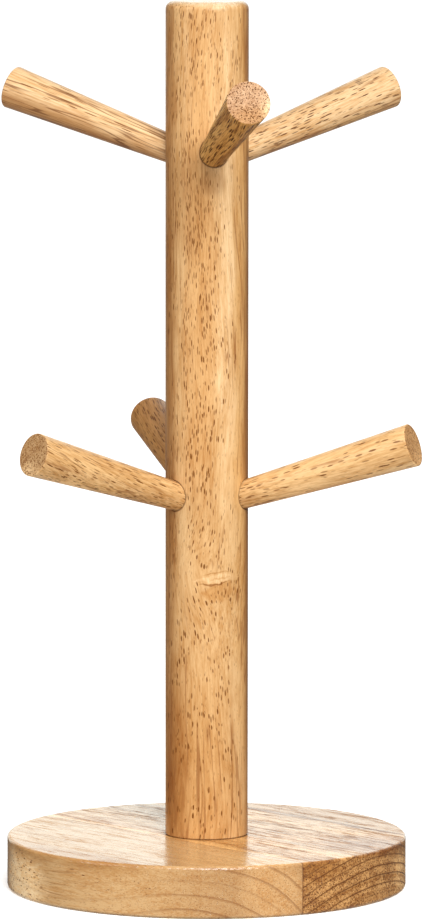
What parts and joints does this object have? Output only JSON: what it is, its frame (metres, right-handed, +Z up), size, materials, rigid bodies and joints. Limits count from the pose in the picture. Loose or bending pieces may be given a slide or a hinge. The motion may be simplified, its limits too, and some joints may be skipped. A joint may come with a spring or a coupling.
{
  "type": "mug tree",
  "caption": "Wooden mug tree: a round post on a flat round base, with two tiers of upward-slanting tapered pegs that hold mugs by their handles.",
  "frame": {"origin": "where the post's axis meets the base's underside, on the surface that the mug tree stands on", "axes": "+Z up along the post; -Y towards the front, the side that the upper front peg points to, 10.5 degrees to the right of it; +X to the right"},
  "size_m": [0.1573, 0.163, 0.3324],
  "materials": {
    "base_wood": "satin lacquer on edge-glued rubberwood",
    "post_wood": "satin lacquer on turned rubberwood",
    "peg_wood": "satin lacquer on turned rubberwood",
    "screw_steel": "bright zinc plate"
  },
  "bodies": {
    "root": {"base_board_front": "base_wood", "base_board_middle": "base_wood", "base_board_back": "base_wood", "post": "post_wood", "peg_upper_right": "peg_wood", "peg_upper_left": "peg_wood", "peg_upper_front": "peg_wood", "peg_lower_back": "peg_wood", "peg_lower_left": "peg_wood", "peg_lower_right": "peg_wood", "base_screw": "screw_steel", "screw_washer": "screw_steel"}
  },
  "joints": []
}
